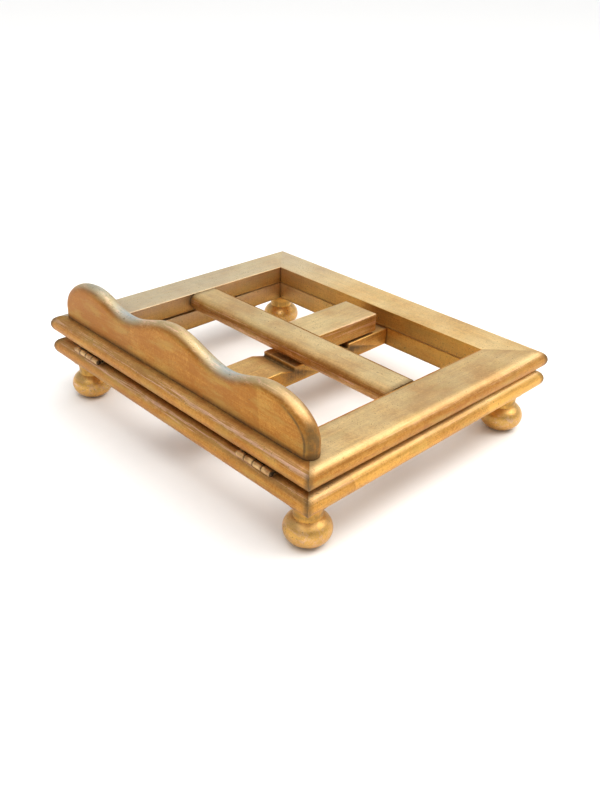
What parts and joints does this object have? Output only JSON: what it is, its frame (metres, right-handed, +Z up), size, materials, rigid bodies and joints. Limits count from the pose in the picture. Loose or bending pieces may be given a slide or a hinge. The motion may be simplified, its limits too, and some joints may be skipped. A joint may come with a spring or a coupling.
{
  "type": "bible stand",
  "caption": "Gilded folding table lectern: a mitred book rest with a lobed ledge, hinged to a footed base and held up by a T-shaped prop in a notched plank.",
  "frame": {"origin": "on the table, at the middle of the closed stand's outline", "axes": "+X along the front edge to the reader's right, +Y from the ledge to the back, +Z up"},
  "size_m": [0.35, 0.2961, 0.1271],
  "materials": {
    "gold_leaf_base": "antique gold leaf over red bole on carved wood, satin, rubbed at the edges",
    "gold_leaf_top": "antique gold leaf over red bole on wood, satin, pale where worn",
    "gold_leaf_ledge": "antique gold leaf over red bole on wood, burnished at the lobes",
    "gold_leaf_prop": "antique gold leaf over red bole on wood, satin",
    "bare_wood": "planed, unfinished",
    "gilded_brass": "brass painted over with the gilding, dull",
    "steel": "dull steel"
  },
  "bodies": {
    "base": {"base_back_rail": "gold_leaf_base", "base_front_rail": "gold_leaf_base", "base_left_rail": "gold_leaf_base", "base_right_rail": "gold_leaf_base", "base_tongue_back_left": "bare_wood", "base_tongue_back_right": "bare_wood", "base_tongue_front_left": "bare_wood", "base_tongue_front_right": "bare_wood", "foot_back_left": "gold_leaf_base", "foot_back_right": "gold_leaf_base", "foot_front_left": "gold_leaf_base", "foot_front_right": "gold_leaf_base", "hinge_left_base_leaf": "gilded_brass", "hinge_left_base_screw_1": "steel", "hinge_left_base_screw_2": "steel", "hinge_left_base_screw_3": "steel", "hinge_left_pin": "gilded_brass", "hinge_right_base_leaf": "gilded_brass", "hinge_right_base_screw_1": "steel", "hinge_right_base_screw_2": "steel", "hinge_right_base_screw_3": "steel", "hinge_right_pin": "gilded_brass", "ratchet_plank": "gold_leaf_base"},
    "top_frame": {"book_ledge": "gold_leaf_ledge", "hinge_left_top_leaf": "gilded_brass", "hinge_left_top_screw_1": "steel", "hinge_left_top_screw_2": "steel", "hinge_left_top_screw_3": "steel", "hinge_right_top_leaf": "gilded_brass", "hinge_right_top_screw_1": "steel", "hinge_right_top_screw_2": "steel", "hinge_right_top_screw_3": "steel", "ledge_screw_centre": "steel", "ledge_screw_left": "steel", "ledge_screw_right": "steel", "pivot_pin_left": "steel", "pivot_pin_right": "steel", "top_back_rail": "gold_leaf_top", "top_front_rail": "gold_leaf_top", "top_left_rail": "gold_leaf_top", "top_right_rail": "gold_leaf_top", "top_tongue_back_left": "bare_wood", "top_tongue_back_right": "bare_wood", "top_tongue_front_left": "bare_wood", "top_tongue_front_right": "bare_wood"},
    "prop": {"crossbar": "gold_leaf_prop", "prop_stem": "gold_leaf_prop"}
  },
  "joints": [
    {"name": "frame_hinge", "type": "hinge", "parent": "base", "child": "top_frame", "pos_m": [0, -0.1455, 0.062], "axis": [1, 0, 0], "range_deg": [0, 35]},
    {"name": "prop_pivot", "type": "hinge", "parent": "top_frame", "child": "prop", "pos_m": [0, -0.00861, 0.07139], "axis": [1, 0, 0], "range_deg": [-87, 0]}
  ],
  "couplings": [
    {"joint": "prop_pivot", "follows": "frame_hinge", "ratio": -2.48}
  ]
}
